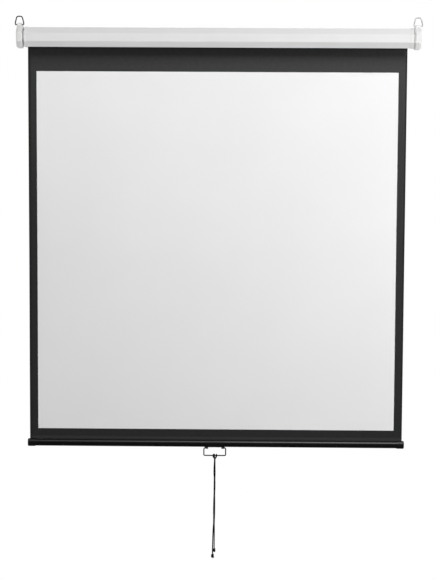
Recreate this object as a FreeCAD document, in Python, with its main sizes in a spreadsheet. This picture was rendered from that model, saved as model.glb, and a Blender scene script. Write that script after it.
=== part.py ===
# Pull-down projection screen for a wall: an octagonal case hung on two wire loops, a spring roller
# inside it, a bordered cloth with a weighted bottom bar, and a bail with a doubled pull cord.
# Millimetres. +X is right and -Y is the front as the screen is watched, +Z is up. The origin is midway
# between the two hanging loops, on the wall plane, at the height where the wall hooks carry the loops.
import FreeCAD
import Part
import Sketcher
import math
import os

V = FreeCAD.Vector
ALONG_X = FreeCAD.Rotation(V(0, 1, 0), 90)
ALONG_Y = FreeCAD.Rotation(V(1, 0, 0), -90)
# Turns a regular eight-sided prism to lie along X with its flats upright and level
OCTAGON_TURN = FreeCAD.Rotation(V(1, 1, 1), 120) * FreeCAD.Rotation(V(0, 0, 1), 22.5)
STRAP_TURN = FreeCAD.Rotation(V(0, 1, 0), -120)
SIDES = {"left": -1, "right": 1}
# Formulas for the middle of the cloth, its left edge and the middle of the saddle, along X
CLOTH = "Places.cloth_x"
CLOTH_LEFT = "Places.cloth_x - Places.cloth_half"
SADDLE = "Places.saddle_x"

SIZES = {
    # Cloth: white image area and black borders; the idle end is the left one, the spring end the right one
    "image_width": 1500,
    "image_height": 1500,
    "side_border": 35,
    "top_border": 100,
    "bottom_border": 46,
    "fabric_thickness": 0.4,
    "fabric_wraps": 2,
    "fabric_gap": 0.3,
    # Case, a folded sheet channel that is open along its bottom rear corner and longer than the cloth
    "idle_margin": 9,
    "spring_margin": 18,
    "case_flats": 80,
    "case_wall": 0.8,
    "slot_play": 6.4,
    "fold_height": 6,
    # Moulded end caps: skirt over the case, neck seen in a groove, and bevelled flange
    "cap_fit": 0.1,
    "lip_wall": 1,
    "lip_length": 2.4,
    "skirt_wall": 1.7,
    "skirt_length": 7.6,
    "skirt_back": 2,
    "neck_step": 13,
    "left_groove": 6,
    "right_groove": 1,
    "neck_wall": 2.5,
    "edge_rise": 1,
    "crest_rise": 7,
    "crest_length": 13,
    "crest_setback": 8.5,
    "flange_length": 26,
    "cap_wall": 3,
    # Ear on each cap and the wire loop that swings in it
    "ear_setback": 10.5,
    "ear_width": 20,
    "ear_thickness": 10,
    "ear_height": 11,
    "loop_wire": 5,
    "loop_rise": 2.8,
    "loop_height": 34.7,
    "loop_half_width": 17,
    "loop_top_half_width": 10.5,
    "loop_foot_gap": 8,
    "loop_shoulder": 10.2,
    "loop_foot_round": 3,
    "loop_shoulder_round": 16,
    "loop_top_round": 9,
    # Fasteners
    "screw_diameter": 3,
    "screw_head": 6,
    "screw_head_height": 1.8,
    "screw_length": 6,
    "cap_screw_spread": 9,
    "bracket_screw_offset": 0.25,
    "bracket_screw_bite": 2.2,
    # Roller brackets in the caps
    "bracket_margin": 3,
    "bracket_plate": 2,
    "hub_diameter": 20,
    "hub_length": 12,
    # Roller and its ends
    "roller_diameter": 28,
    "roller_wall": 0.8,
    "roller_margin": 2,
    "push_fit": 0.03,
    "running_fit": 0.05,
    "plug_fit": 0.15,
    "plug_length": 30,
    "plug_flange": 3,
    "pin_diameter": 8,
    "spigot_diameter": 14,
    "end_play": 0.5,
    "bush_diameter": 12,
    "bush_flange": 15,
    "bush_flange_thickness": 1.5,
    # Spring motor: a flat-ended shaft that stands still, its collar, and the spring between collar and roller
    "spear_diameter": 8,
    "spear_flats": 5,
    "spear_length": 490,
    "collar_diameter": 22,
    "collar_length": 15,
    "collar_pin_diameter": 2.5,
    "collar_pin_recess": 1.8,
    "spring_wire": 1.6,
    "spring_diameter": 18,
    "spring_turns": 40,
    "spring_tail": 1.6,
    "spring_lead": 4.8,
    # Ratchet on the still shaft, pawls on the roller
    "ratchet_diameter": 14,
    "ratchet_thickness": 4,
    "ratchet_notches": 4,
    "pawl_pivot_radius": 11,
    "pawl_reach": 9,
    "pawl_boss": 5.2,
    "pawl_tip": 1.8,
    "pawl_thickness": 3,
    "pawl_seat_radius": 6.4,
    "pawl_swing": 16,
    "pawl_pin_diameter": 2.6,
    "pawl_pin_bite": 7.5,
    "pawl_pin_head": 4.4,
    "pawl_pin_head_height": 0.8,
    "side_play": 0.4,
    # Bottom bar and what it carries
    "bar_diameter": 29.2,
    "bar_wall": 1.2,
    "bar_margin": 3,
    "bar_slot": 1.6,
    "bar_cap_diameter": 33,
    "bar_cap_length": 31,
    "bar_cap_wall": 6,
    "bar_cap_round": 4,
    "spline_diameter": 8,
    "spline_slit": 1,
    # Saddle under the bar with two lugs, a little left of the middle, and the wire bail
    "saddle_shift": 3.5,
    "saddle_margin": 3,
    "saddle_wall": 1.2,
    "saddle_top": 9,
    "lug_width": 11,
    "lug_inner": 28,
    "lug_diameter": 9,
    "web_thickness": 3,
    "web_drop": 1.6,
    "web_arch": 2.6,
    "saddle_screw_spread": 20,
    "bail_wire": 5,
    "bail_pivot_drop": 4,
    "bail_half_width": 46,
    "bail_drop": 32.8,
    "bail_top_round": 7,
    "bail_bottom_round": 5,
    # Pull cord
    "cord_diameter": 5,
    "cord_clear": 0.3,
    "hitch_depth": 14,
    "hitch_outer_round": 7.6,
    "hitch_inner_round": 2.3,
    "hitch_far_round": 7.8,
    "lump_height": 13,
    "lump_width": 16,
    "lump_depth": 16,
    "lump_shift": 0.4,
    "lump_drop": 9,
    "strap_length": 8.4,
    "knot_width": 11.5,
    "knot_length": 18,
    "knot_sink": 8,
}

# Places worked out from the sizes above; the case axis is the middle of the octagon
PLACES = {
    "fabric_width": "Sizes.image_width + 2 * Sizes.side_border",
    "cloth_x": "(Sizes.idle_margin - Sizes.spring_margin) / 2",
    "cloth_half": "fabric_width / 2",
    "case_length": "fabric_width + Sizes.idle_margin + Sizes.spring_margin",
    "case_end": "case_length / 2",
    "lip_flats": "Sizes.case_flats + 2 * Sizes.lip_wall",
    "skirt_flats": "Sizes.case_flats + 2 * Sizes.skirt_wall",
    "neck_flats": "Sizes.case_flats - 2 * Sizes.neck_step",
    "neck_bore": "neck_flats - 2 * Sizes.neck_wall",
    "edge_flats": "Sizes.case_flats + 2 * Sizes.edge_rise",
    "crest_flats": "Sizes.case_flats + 2 * Sizes.crest_rise",
    "axis_y": "-crest_flats / 2",
    "pivot_rise": "crest_flats / 2 + Sizes.loop_rise",
    "axis_z": "Sizes.loop_wire / 2 - Sizes.loop_height - pivot_rise",
    "left_skirt_end": "case_end + Sizes.skirt_back",
    "left_flange_start": "left_skirt_end + Sizes.left_groove",
    "right_skirt_end": "left_skirt_end + (Sizes.left_groove - Sizes.right_groove) / 2",
    "right_flange_start": "right_skirt_end + Sizes.right_groove",
    "skirt_start": "left_skirt_end - Sizes.skirt_length",
    "lip_start": "skirt_start - Sizes.lip_length",
    "flange_end": "left_flange_start + Sizes.flange_length",
    "ear_middle": "flange_end - Sizes.ear_setback",
    "crest_end": "flange_end - Sizes.crest_setback",
    "crest_start": "crest_end - Sizes.crest_length",
    "wall_inner": "flange_end - Sizes.cap_wall",
    "plate_start": "wall_inner - Sizes.bracket_plate",
    "hub_start": "plate_start - Sizes.hub_length",
    "flange_bore": "edge_flats - 2 * Sizes.cap_wall",
    "bracket_diameter": "neck_bore - 2 * Sizes.bracket_margin",
    "bracket_screw_radius": "(bracket_diameter + Sizes.hub_diameter) / 4 + Sizes.bracket_screw_offset",
    "roller_half": "cloth_half + Sizes.roller_margin",
    "roller_bore": "Sizes.roller_diameter - 2 * Sizes.roller_wall",
    "idle_roller_end": "cloth_x - roller_half",
    "idle_plug_start": "idle_roller_end + Sizes.plug_length",
    "idle_plug_end": "idle_roller_end - Sizes.plug_flange",
    "spring_roller_end": "cloth_x + roller_half",
    "spring_plug_start": "spring_roller_end - Sizes.plug_length",
    "spring_plug_end": "spring_roller_end + Sizes.plug_flange",
    "ratchet_start": "spring_plug_end + Sizes.side_play",
    "spear_start": "wall_inner - Sizes.spear_length",
    "roll_radius": "Sizes.roller_diameter / 2 + Sizes.fabric_wraps * Sizes.fabric_thickness",
    "fabric_front": "axis_y + roll_radius + Sizes.fabric_gap",
    "fabric_back": "fabric_front + Sizes.fabric_thickness",
    "slot_front": "fabric_front - Sizes.slot_play",
    "slot_back": "fabric_back + Sizes.slot_play",
    "bar_y": "fabric_front + Sizes.fabric_thickness / 2",
    "drop": "Sizes.top_border + Sizes.image_height + Sizes.bottom_border",
    "bar_z": "axis_z - Sizes.case_flats / 2 - drop - Sizes.bar_diameter / 2",
    "bar_half": "cloth_half + Sizes.bar_margin",
    "bar_cap_end": "bar_half + Sizes.bar_cap_wall",
    "bar_cap_start": "bar_cap_end - Sizes.bar_cap_length",
    "bar_bore": "Sizes.bar_diameter - 2 * Sizes.bar_wall",
    "spline_z": "bar_z + bar_bore / 2 - Sizes.push_fit - Sizes.spline_diameter / 2",
    "saddle_x": "cloth_x - Sizes.saddle_shift",
    "lug_outer": "Sizes.lug_inner + Sizes.lug_width",
    "saddle_half": "lug_outer + Sizes.saddle_margin",
    "bail_z": "bar_z - Sizes.bar_diameter / 2 - Sizes.bail_pivot_drop",
    "grip_z": "bail_z - Sizes.bail_drop",
    "hitch_z": "grip_z - Sizes.hitch_depth",
}

# Two strands of one limp cord, hanging side by side and half behind each other: X from the saddle's middle, Y
# from the bar's, and depth below the bail's lower wire
LONG_STRAND = [
    (-0.9, 2.7, 14), (-0.9, 2.7, 25), (-1.6, 2.6, 39), (-2.5, 2.3, 56), (-2.8, 2.0, 76),
    (-1.2, 2.7, 97), (-1.5, 2.6, 118), (-1.8, 2.5, 141), (-1.8, 2.8, 166), (-2.8, 2.4, 190),
    (-3.3, 2.2, 215), (-3.7, 2.1, 240), (-3.1, 2.5, 264), (-3.2, 2.8, 290), (-5.0, 2.1, 314),
    (-6.1, 1.7, 344), (-6.9, 2.4, 374), (-7.7, 2.9, 402), (-7.7, 2.9, 425),
]
SHORT_STRAND = [
    (0.9, -2.7, 14), (0.9, -2.7, 25), (1.0, -2.6, 39), (1.3, -2.3, 56), (1.6, -2.0, 76),
    (0.8, -2.7, 97), (1.3, -2.6, 118), (1.2, -2.5, 141), (0.0, -2.8, 166), (0.6, -2.4, 190),
    (0.7, -2.2, 215), (0.5, -2.1, 240), (0.1, -2.5, 264), (-1.2, -2.8, 290), (-0.5, -2.1, 314),
    (-0.6, -1.7, 344), (-0.8, -2.9, 374), (-0.8, -2.9, 399),
]

doc = FreeCAD.newDocument("ProjectionScreen")


def fill_sheet(name, cells):
    sheet = doc.addObject("Spreadsheet::Sheet", name)
    for row, (alias, content) in enumerate(cells.items(), start=1):
        sheet.set(f"A{row}", alias.replace("_", " "))
        sheet.set(f"B{row}", str(content))
        sheet.setAlias(f"B{row}", alias)
    doc.recompute()
    return sheet


sizes = fill_sheet("Sizes", SIZES)
places = fill_sheet("Places", {alias: f"={formula}" for alias, formula in PLACES.items()})
nodes = []


def size(alias):
    return float(sizes.get(alias))


def place(alias):
    return float(places.get(alias))


# Helpers for objects bound to the sheets

def bind(obj, **formulas):
    """Bind properties to formulas; __ in a name stands for a dot."""
    for name, formula in formulas.items():
        obj.setExpression(name.replace("__", "."), formula)
    return obj


def put(obj, x="0", y="0", z="0", turn=FreeCAD.Rotation()):
    obj.Placement = FreeCAD.Placement(V(), turn)
    return bind(obj, Placement__Base__x=x, Placement__Base__y=y, Placement__Base__z=z)


def block(x, y, z, length, width, height):
    """A box from its lowest corner."""
    obj = bind(doc.addObject("Part::Box", "Block"), Length=length, Width=width, Height=height)
    return put(obj, x, y, z)


def rod(x, y, z, diameter, length, turn=ALONG_X):
    """A round bar from the middle of its first end, along X unless it is turned."""
    obj = bind(doc.addObject("Part::Cylinder", "Rod"), Radius=f"({diameter}) / 2", Height=length)
    return put(obj, x, y, z, turn)


def octagon(x, flats, length):
    """An eight-sided bar along X about the case axis."""
    obj = doc.addObject("Part::Prism", "Octagon")
    obj.Polygon = 8
    bind(obj, Circumradius=f"({flats}) / 2 / cos(22.5 deg)", Height=length)
    return put(obj, x, "Places.axis_y", "Places.axis_z", OCTAGON_TURN)


def octagon_loft(stations):
    """Ruled faces through octagons, each given by its X and its size across flats."""
    rings = []
    for x, flats in stations:
        ring = doc.addObject("Part::RegularPolygon", "Ring")
        ring.Polygon = 8
        bind(ring, Circumradius=f"({flats}) / 2 / cos(22.5 deg)")
        rings.append(put(ring, x, "Places.axis_y", "Places.axis_z", OCTAGON_TURN))
    loft = doc.addObject("Part::Loft", "Bevel")
    loft.Sections = rings
    loft.Solid = True
    loft.Ruled = True
    return loft


def fuse(*shapes):
    obj = doc.addObject("Part::MultiFuse", "Joined")
    obj.Shapes = list(shapes)
    obj.Refine = True
    return obj


def cut(base, *tools):
    for tool in tools:
        obj = doc.addObject("Part::Cut", "Trimmed")
        obj.Base = base
        obj.Tool = tool
        base = obj
    return base


def keep_common(*shapes):
    obj = doc.addObject("Part::MultiCommon", "Kept")
    obj.Shapes = list(shapes)
    return obj


def group(*shapes):
    """Separate solids that share one node."""
    obj = doc.addObject("Part::Compound", "Group")
    obj.Links = list(shapes)
    return obj


def turned(profile, x="0", y="0", z="0"):
    """A lathe-turned piece about an X axis; the profile lists (X, radius) formulas round its half section."""
    body = doc.addObject("PartDesign::Body", "Turned")
    sketch = body.newObject("Sketcher::SketchObject", "HalfSection")
    plane = next(f for f in body.Origin.OriginFeatures if f.Role == "XY_Plane")
    sketch.AttachmentSupport = [(plane, "")]
    sketch.MapMode = "FlatFace"
    count = len(profile)
    # A rough closed outline first, then every corner is held by its two formulas
    rough = [V(10 * math.cos(2 * math.pi * k / count), 50 - 10 * math.sin(2 * math.pi * k / count), 0)
             for k in range(count)]
    for k in range(count):
        sketch.addGeometry(Part.LineSegment(rough[k], rough[(k + 1) % count]), False)
    for k in range(count):
        sketch.addConstraint(Sketcher.Constraint("Coincident", k, 2, (k + 1) % count, 1))
    for k, (along, radius) in enumerate(profile):
        for axis, formula in (("X", along), ("Y", radius)):
            number = sketch.addConstraint(
                Sketcher.Constraint(f"Distance{axis}", -1, 1, k, 1, getattr(rough[k], axis.lower())))
            sketch.renameConstraint(number, f"corner{k}{axis}")
            sketch.setExpression(f"Constraints.corner{k}{axis}", formula)
    turn = body.newObject("PartDesign::Revolution", "Turn")
    turn.Profile = sketch
    turn.ReferenceAxis = (sketch, ["H_Axis"])
    turn.Angle = 360
    put(body, x, y, z)
    return body


def named(obj, label):
    obj.Label = label
    nodes.append(obj)
    return obj


def feature(label, shape, base=V(), angle=0):
    """A piece shaped from numbers that were read from the sheets, turned about X and set down at a point."""
    obj = doc.addObject("Part::Feature", "Formed")
    obj.Shape = shape
    obj.Placement = FreeCAD.Placement(base, FreeCAD.Rotation(V(1, 0, 0), angle))
    return named(obj, label)


def on_side(side, distance, middle="0"):
    """X at a distance from the middle, on one side."""
    sign = "+" if side > 0 else "-"
    return f"{middle} {sign} ({distance})"


def mirrored(side, near, far, middle="0"):
    """Lowest X and length of a stretch between two distances from the middle, on one side."""
    return on_side(side, near if side > 0 else far, middle), f"({far}) - ({near})"


def octagon_between(side, near, far, flats):
    start, length = mirrored(side, near, far)
    return octagon(start, flats, length)


# Wires, cords and springs: one tube along straight runs and tangent arcs

def rounded_path(points, radii):
    """Straight runs joined by tangent arcs; radii are those of the inner points."""
    edges = []
    start = points[0]
    for before, corner, after, radius in zip(points, points[1:], points[2:], radii):
        back = (before - corner).normalize()
        ahead = (after - corner).normalize()
        half_turn = (math.pi - back.getAngle(ahead)) / 2
        trim = radius * math.tan(half_turn)
        first = corner + back * trim
        last = corner + ahead * trim
        middle = (back + ahead).normalize()
        depth = radius / math.cos(half_turn) - radius
        edges.append(Part.LineSegment(start, first).toShape())
        edges.append(Part.Arc(first, corner + middle * depth, last).toShape())
        start = last
    edges.append(Part.LineSegment(start, points[-1]).toShape())
    return Part.Wire(edges)


def tube(path, diameter):
    start = path.Edges[0].firstVertex().Point
    direction = path.Edges[0].tangentAt(path.Edges[0].FirstParameter)
    ring = Part.Wire(Part.Circle(start, direction, diameter / 2).toShape())
    solid = path.makePipeShell([ring], True, False)
    share = solid.Volume / (math.pi * diameter ** 2 / 4 * path.Length)
    return solid, share


def cord_radii(points):
    """Each arc as large as its two runs allow."""
    radii = []
    for before, corner, after in zip(points, points[1:], points[2:]):
        half_turn = (math.pi - (before - corner).getAngle(after - corner)) / 2
        shorter = min((before - corner).Length, (after - corner).Length)
        radii.append(0.45 * shorter / math.tan(half_turn))
    return radii


def biarc(start, start_way, end, end_way):
    """Two tangent arcs between two points with given directions."""
    across = end - start
    ways = start_way + end_way
    spread = 2 * (1 - start_way.dot(end_way))
    lead = (math.sqrt(across.dot(ways) ** 2 + spread * across.dot(across)) - across.dot(ways)) / spread
    joint = (start + end + (start_way - end_way) * lead) * 0.5
    return [arc_from(start, start_way, joint), arc_from(end, end_way * -1, joint, True)]


def arc_from(start, way, end, backwards=False):
    chord = end - start
    along = V(chord).normalize()
    outward = (way - along * way.dot(along)).normalize()
    rise = chord.Length / 2 * math.tan(way.getAngle(along) / 2)
    crown = start + chord * 0.5 + outward * rise
    return Part.Arc(end, crown, start) if backwards else Part.Arc(start, crown, end)


# Case: outer octagon less inner octagon, opened by the slot, with an upturned fold on each free edge

def make_case():
    start = "-Places.case_end"
    inner_flats = "Sizes.case_flats - 2 * Sizes.case_wall"
    shell = cut(octagon(start, "Sizes.case_flats", "Places.case_length"),
                octagon(start, inner_flats, "Places.case_length"))
    floor_z = "Places.axis_z - Sizes.case_flats / 2"
    slot = block(start, "Places.slot_front", floor_z, "Places.case_length",
                 "Places.slot_back - Places.slot_front", "Sizes.case_flats / 2")
    front_fold = block(start, "Places.slot_front - Sizes.case_wall", floor_z,
                       "Places.case_length", "Sizes.case_wall", "Sizes.fold_height")
    rear_fold = block(start, "Places.slot_back", floor_z,
                      "Places.case_length", "Sizes.case_wall", "Sizes.case_flats / 4")
    rear_fold = keep_common(rear_fold, octagon(start, "Sizes.case_flats", "Places.case_length"))
    body = fuse(cut(shell, slot), front_fold, rear_fold)
    holes = [cap_screw_hole(side, level) for side in SIDES.values() for level in (-1, 1)]
    return named(cut(body, fuse(*holes)), "case")


def cap_screw_place(side, level):
    x = on_side(side, "(Places.skirt_start + Places.case_end) / 2")
    z = f"Places.axis_z + {level} * Sizes.cap_screw_spread"
    return x, z


def cap_screw_hole(side, level):
    x, z = cap_screw_place(side, level)
    return rod(x, "Places.axis_y", z, "Sizes.screw_diameter + 2 * Sizes.push_fit", "Places.crest_flats / 2",
               ALONG_Y)


def pan_head_screw(x, y, z, shank, turn):
    """Head seated at the given point, with its shank before it along the turned axis."""
    ahead = turn.multVec(V(0, 0, 1))
    back = [f"({place_} - ({ahead_}) * ({shank}))" for place_, ahead_ in zip((x, y, z), ahead)]
    stem = rod(*back, "Sizes.screw_diameter", shank, turn)
    head = bind(doc.addObject("Part::Cone", "Head"), Radius1="Sizes.screw_head / 2",
                Radius2="Sizes.screw_head / 3", Height="Sizes.screw_head_height")
    return fuse(stem, put(head, x, y, z, turn))


# End caps: skirt, neck and bevelled flange, bored from inside, with an ear for the hanging loop

def make_cap(name, side):
    lip = octagon_between(side, "Places.lip_start", "Places.skirt_start", "Places.lip_flats")
    skirt_end, flange_start = f"Places.{name}_skirt_end", f"Places.{name}_flange_start"
    skirt = octagon_between(side, "Places.skirt_start", skirt_end, "Places.skirt_flats")
    neck = octagon_between(side, skirt_end, flange_start, "Places.neck_flats")
    flange = octagon_loft([
        (on_side(side, flange_start), "Places.edge_flats"),
        (on_side(side, "Places.crest_start"), "Places.crest_flats"),
        (on_side(side, "Places.crest_end"), "Places.crest_flats"),
        (on_side(side, "Places.flange_end"), "Places.edge_flats"),
    ])
    ear_x, ear_length = mirrored(side, "Places.ear_middle - Sizes.ear_width / 2",
                                 "Places.ear_middle + Sizes.ear_width / 2")
    crown_z = "Places.axis_z + Places.crest_flats / 2 + Sizes.ear_height - Sizes.ear_thickness / 2"
    post = block(ear_x, "Places.axis_y - Sizes.ear_thickness / 2", "Places.axis_z + Places.edge_flats / 2",
                 ear_length, "Sizes.ear_thickness",
                 "(Places.crest_flats - Places.edge_flats) / 2 + Sizes.ear_height - Sizes.ear_thickness / 2")
    crown = rod(ear_x, "Places.axis_y", crown_z, "Sizes.ear_thickness", ear_length)
    ear_hole = rod(ear_x, "Places.axis_y", "Places.axis_z + Places.pivot_rise",
                   "Sizes.loop_wire + 2 * Sizes.running_fit", ear_length)
    case_socket = octagon_between(side, "Places.lip_start", "Places.case_end",
                                  "Sizes.case_flats + 2 * Sizes.cap_fit")
    passage = octagon_between(side, "Places.case_end", "Places.wall_inner", "Places.neck_bore")
    chamber = octagon_between(side, f"{flange_start} + Sizes.cap_wall", "Places.wall_inner",
                              "Places.flange_bore")
    screw_holes = [cap_screw_hole(side, level) for level in (-1, 1)]
    screw_holes += [bracket_screw_hole(side, level) for level in (-1, 1)]
    solid = fuse(lip, skirt, neck, flange, post, crown)
    return named(cut(solid, fuse(case_socket, passage, chamber), ear_hole, fuse(*screw_holes)), f"{name}_end_cap")


def make_cap_screws(name, side):
    screws = []
    for level in (-1, 1):
        x, z = cap_screw_place(side, level)
        screws.append(pan_head_screw(x, "Places.axis_y + Places.skirt_flats / 2", z, "Sizes.screw_length",
                                     ALONG_Y))
    return named(group(*screws), f"{name}_cap_screws")


# Roller brackets: a round plate on the cap's end wall with a hub for the roller's end

def bracket_screw_hole(side, level):
    x, length = mirrored(side, "Places.plate_start", "Places.wall_inner + Sizes.bracket_screw_bite")
    z = f"Places.axis_z + {level} * Places.bracket_screw_radius"
    return rod(x, "Places.axis_y", z, "Sizes.screw_diameter + 2 * Sizes.push_fit", length)


def make_bracket(name, side, bore):
    plate_x, plate_length = mirrored(side, "Places.plate_start", "Places.wall_inner")
    hub_x, hub_length = mirrored(side, "Places.hub_start", "Places.plate_start")
    plate = rod(plate_x, "Places.axis_y", "Places.axis_z", "Places.bracket_diameter", plate_length)
    hub = rod(hub_x, "Places.axis_y", "Places.axis_z", "Sizes.hub_diameter", hub_length)
    holes = [bracket_screw_hole(side, level) for level in (-1, 1)]
    return named(cut(fuse(plate, hub), bore, fuse(*holes)), f"{name}_roller_bracket")


def make_bracket_screws(name, side):
    screws = []
    turn = ALONG_X if side < 0 else FreeCAD.Rotation(V(0, 1, 0), -90)
    for level in (-1, 1):
        z = f"Places.axis_z + {level} * Places.bracket_screw_radius"
        screws.append(pan_head_screw(on_side(side, "Places.plate_start"), "Places.axis_y", z,
                                     "Sizes.bracket_plate + Sizes.bracket_screw_bite", turn))
    return named(group(*screws), f"{name}_bracket_screws")


# Roller: tube, cloth left on it, and the turned end pieces

def make_roller():
    axis = ("Places.axis_y", "Places.axis_z")
    outer = rod("Places.idle_roller_end", *axis, "Sizes.roller_diameter", "2 * Places.roller_half")
    inner = rod("Places.idle_roller_end", *axis, "Places.roller_bore", "2 * Places.roller_half")
    named(cut(outer, inner), "roller_tube")
    roll = rod(CLOTH_LEFT, *axis, "2 * Places.roll_radius", "Places.fabric_width")
    core = rod(CLOTH_LEFT, *axis, "Sizes.roller_diameter", "Places.fabric_width")
    named(cut(roll, core), "fabric_roll")


def make_idle_end():
    shank = "Places.roller_bore / 2 - Sizes.plug_fit"
    flange = "Sizes.roller_diameter / 2"
    spigot = "Sizes.spigot_diameter / 2"
    spigot_end = "-(Places.hub_start - Sizes.bush_flange_thickness - Sizes.end_play)"
    bore = "Sizes.pin_diameter / 2 + Sizes.push_fit"
    plug = turned([
        ("Places.idle_plug_start", bore), ("Places.idle_plug_start", shank),
        ("Places.idle_roller_end", shank), ("Places.idle_roller_end", flange),
        ("Places.idle_plug_end", flange), ("Places.idle_plug_end", spigot),
        (spigot_end, spigot), (spigot_end, bore),
    ], y="Places.axis_y", z="Places.axis_z")
    named(plug, "idle_plug")
    named(rod("-Places.plate_start", "Places.axis_y", "Places.axis_z", "Sizes.pin_diameter",
              "Places.idle_plug_start + Places.plate_start"), "idle_pin")
    bush_bore = "Sizes.pin_diameter / 2 + Sizes.running_fit"
    sleeve = "Sizes.bush_diameter / 2 - Sizes.push_fit"
    rim_x = "-(Places.hub_start - Sizes.bush_flange_thickness)"
    bush = turned([
        ("-Places.plate_start", bush_bore), ("-Places.plate_start", sleeve), ("-Places.hub_start", sleeve),
        ("-Places.hub_start", "Sizes.bush_flange / 2"), (rim_x, "Sizes.bush_flange / 2"), (rim_x, bush_bore),
    ], y="Places.axis_y", z="Places.axis_z")
    named(bush, "idle_bush")


def make_spear_end():
    bore = "Sizes.spear_diameter / 2 + Sizes.running_fit"
    shank = "Places.roller_bore / 2 - Sizes.plug_fit"
    flange = "Sizes.roller_diameter / 2"
    plug = turned([
        ("Places.spring_plug_start", bore), ("Places.spring_plug_start", shank),
        ("Places.spring_roller_end", shank), ("Places.spring_roller_end", flange),
        ("Places.spring_plug_end", flange), ("Places.spring_plug_end", bore),
    ], y="Places.axis_y", z="Places.axis_z")
    pin_holes = [pawl_pin(level, "Sizes.pawl_pin_diameter + 2 * Sizes.push_fit", False) for level in (-1, 1)]
    named(cut(plug, fuse(*pin_holes)), "spear_plug")
    named(group(*[pawl_pin(level, "Sizes.pawl_pin_diameter", True) for level in (-1, 1)]), "pawl_pins")


def spear_blank(x, length, play):
    """The flat-ended section that keeps the still shaft from turning in its bracket."""
    round_bar = rod(x, "Places.axis_y", "Places.axis_z", f"Sizes.spear_diameter + 2 * {play}", length)
    flat_bar = block(x, "Places.axis_y - Sizes.spear_diameter",
                     f"Places.axis_z - Sizes.spear_flats / 2 - {play}", length,
                     "2 * Sizes.spear_diameter", f"Sizes.spear_flats + 2 * {play}")
    return keep_common(round_bar, flat_bar)


def make_spear():
    body = rod("Places.spear_start", "Places.axis_y", "Places.axis_z", "Sizes.spear_diameter",
               "Places.hub_start - Places.spear_start")
    flat_x, flat_length = mirrored(1, "Places.hub_start", "Places.wall_inner")
    shaft = fuse(body, spear_blank(flat_x, flat_length, "0"))
    named(cut(shaft, collar_pin("Sizes.collar_pin_diameter + 2 * Sizes.push_fit")), "spear")
    ring = rod("Places.spear_start", "Places.axis_y", "Places.axis_z", "Sizes.collar_diameter",
               "Sizes.collar_length")
    hole = rod("Places.spear_start", "Places.axis_y", "Places.axis_z",
               "Sizes.spear_diameter + 2 * Sizes.push_fit", "Sizes.collar_length")
    collar = cut(ring, hole, collar_pin("Sizes.collar_pin_diameter + 2 * Sizes.push_fit"))
    named(collar, "spring_collar")
    named(collar_pin("Sizes.collar_pin_diameter"), "collar_pin")


def collar_pin(diameter):
    return rod("Places.spear_start + Sizes.collar_length / 2", "Places.axis_y",
               "Places.axis_z - Sizes.collar_diameter / 2 + Sizes.collar_pin_recess", diameter,
               "Sizes.collar_diameter - 2 * Sizes.collar_pin_recess", FreeCAD.Rotation())


def pawl_pin(level, diameter, with_head):
    z = f"Places.axis_z + {level} * Sizes.pawl_pivot_radius"
    tip_x = "Places.spring_plug_end + Sizes.pawl_thickness + 2 * Sizes.side_play"
    start = "Places.spring_roller_end - Sizes.pawl_pin_bite"
    stem = rod(start, "Places.axis_y", z, diameter, f"{tip_x} - ({start})")
    if not with_head:
        return stem
    return fuse(stem, rod(tip_x, "Places.axis_y", z, "Sizes.pawl_pin_head", "Sizes.pawl_pin_head_height"))


# Pawls and ratchet, drawn in the plane across the case axis

def pawl_outline(slant, grow):
    """Face of a pawl whose pin is above the axis; slant is its angle in degrees from the line to the axis."""
    pin = V(0, 0, size("pawl_pivot_radius"))
    way = math.radians(270 + slant)
    tip = pin + V(0, math.cos(way), math.sin(way)) * size("pawl_reach")
    big = size("pawl_boss") / 2 + grow
    small = size("pawl_tip") / 2 + grow
    lean = math.acos((big - small) / size("pawl_reach"))

    def rim(middle, radius, angle):
        return middle + V(0, math.cos(angle), math.sin(angle)) * radius

    corners = [rim(pin, big, way + lean), rim(tip, small, way + lean),
               rim(tip, small, way - lean), rim(pin, big, way - lean)]
    outline = Part.Wire([
        Part.LineSegment(corners[0], corners[1]).toShape(),
        Part.Arc(corners[1], rim(tip, small, way), corners[2]).toShape(),
        Part.LineSegment(corners[2], corners[3]).toShape(),
        Part.Arc(corners[3], rim(pin, big, way + math.pi), corners[0]).toShape(),
    ])
    return Part.Face(outline)


def seated_slant():
    """Angle at which the pawl's tip lies on the notch's seat radius."""
    arm = size("pawl_pivot_radius")
    reach = size("pawl_reach")
    seat = size("pawl_seat_radius")
    return math.degrees(math.acos((arm ** 2 + reach ** 2 - seat ** 2) / (2 * arm * reach)))


def on_axis(x):
    return V(x, place("axis_y"), place("axis_z"))


def make_pawls():
    thickness = size("pawl_thickness")
    face = pawl_outline(seated_slant() + size("pawl_swing"), 0)
    blank = face.extrude(V(thickness, 0, 0))
    pin_radius = size("pawl_pin_diameter") / 2 + size("running_fit")
    pin_hole = Part.makeCylinder(pin_radius, thickness, V(0, 0, size("pawl_pivot_radius")), V(1, 0, 0))
    pawl = blank.cut(pin_hole)
    x = place("spring_plug_end") + size("side_play")
    feature("upper_pawl", pawl, on_axis(x))
    feature("lower_pawl", pawl, on_axis(x), 180)


def make_ratchet():
    thickness = size("ratchet_thickness")
    wheel = Part.makeCylinder(size("ratchet_diameter") / 2, thickness, V(), V(1, 0, 0))
    bore = Part.makeCylinder(size("spear_diameter") / 2 + size("push_fit"), thickness, V(), V(1, 0, 0))
    wheel = wheel.cut(bore)
    notch = pawl_outline(seated_slant(), size("side_play")).extrude(V(thickness, 0, 0))
    notches = int(size("ratchet_notches"))
    for step in range(notches):
        tool = notch.copy()
        tool.rotate(V(), V(1, 0, 0), 360 / notches * step)
        wheel = wheel.cut(tool)
    feature("ratchet_wheel", wheel, on_axis(place("ratchet_start")))


# Torsion spring from the still collar to the roller's plug

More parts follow.
